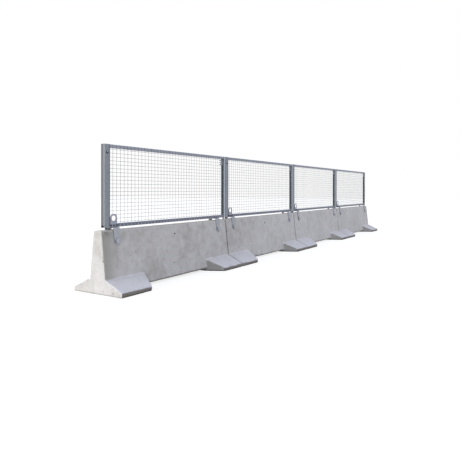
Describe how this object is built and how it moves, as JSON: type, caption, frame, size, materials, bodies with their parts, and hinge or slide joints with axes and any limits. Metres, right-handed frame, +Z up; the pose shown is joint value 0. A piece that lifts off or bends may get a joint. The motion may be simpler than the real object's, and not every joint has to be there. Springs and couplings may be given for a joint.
{
  "type": "mesh panel barrier",
  "caption": "Row of precast concrete barrier units with spread feet, topped by a run of galvanised welded-mesh fence panels in tubular frames.",
  "frame": {"origin": "middle of the row at ground level", "axes": "+X along the row, +Y to the back, +Z up"},
  "size_m": [11.2, 0.88, 1.92],
  "materials": {
    "concrete": "matte",
    "frame_zinc": "satin",
    "mesh_zinc": "satin",
    "strap_zinc": "satin",
    "dark_steel": "matte"
  },
  "bodies": {
    "root": {"unit_1": "concrete", "unit_2": "concrete", "unit_3": "concrete", "unit_4": "concrete", "left_post_1": "frame_zinc", "left_post_2": "frame_zinc", "left_post_3": "frame_zinc", "left_post_4": "frame_zinc", "right_post_1": "frame_zinc", "right_post_2": "frame_zinc", "right_post_3": "frame_zinc", "right_post_4": "frame_zinc", "top_rail_1": "frame_zinc", "top_rail_2": "frame_zinc", "top_rail_3": "frame_zinc", "top_rail_4": "frame_zinc", "bottom_rail_1": "frame_zinc", "bottom_rail_2": "frame_zinc", "bottom_rail_3": "frame_zinc", "bottom_rail_4": "frame_zinc", "mesh_1_left": "mesh_zinc", "mesh_1_middle": "mesh_zinc", "mesh_1_right": "mesh_zinc", "mesh_2_left": "mesh_zinc", "mesh_2_middle": "mesh_zinc", "mesh_2_right": "mesh_zinc", "mesh_3_left": "mesh_zinc", "mesh_3_middle": "mesh_zinc", "mesh_3_right": "mesh_zinc", "mesh_4_left": "mesh_zinc", "mesh_4_middle": "mesh_zinc", "mesh_4_right": "mesh_zinc", "saddles_1": "strap_zinc", "saddles_2": "strap_zinc", "saddles_3": "strap_zinc", "saddles_4": "strap_zinc", "eye_plate_1": "strap_zinc", "eye_plate_2": "strap_zinc", "eye_plate_3": "strap_zinc", "eye_plate_4": "strap_zinc", "clamp_heads": "strap_zinc", "coupling_claws": "dark_steel", "levelling_studs": "dark_steel"}
  },
  "joints": []
}
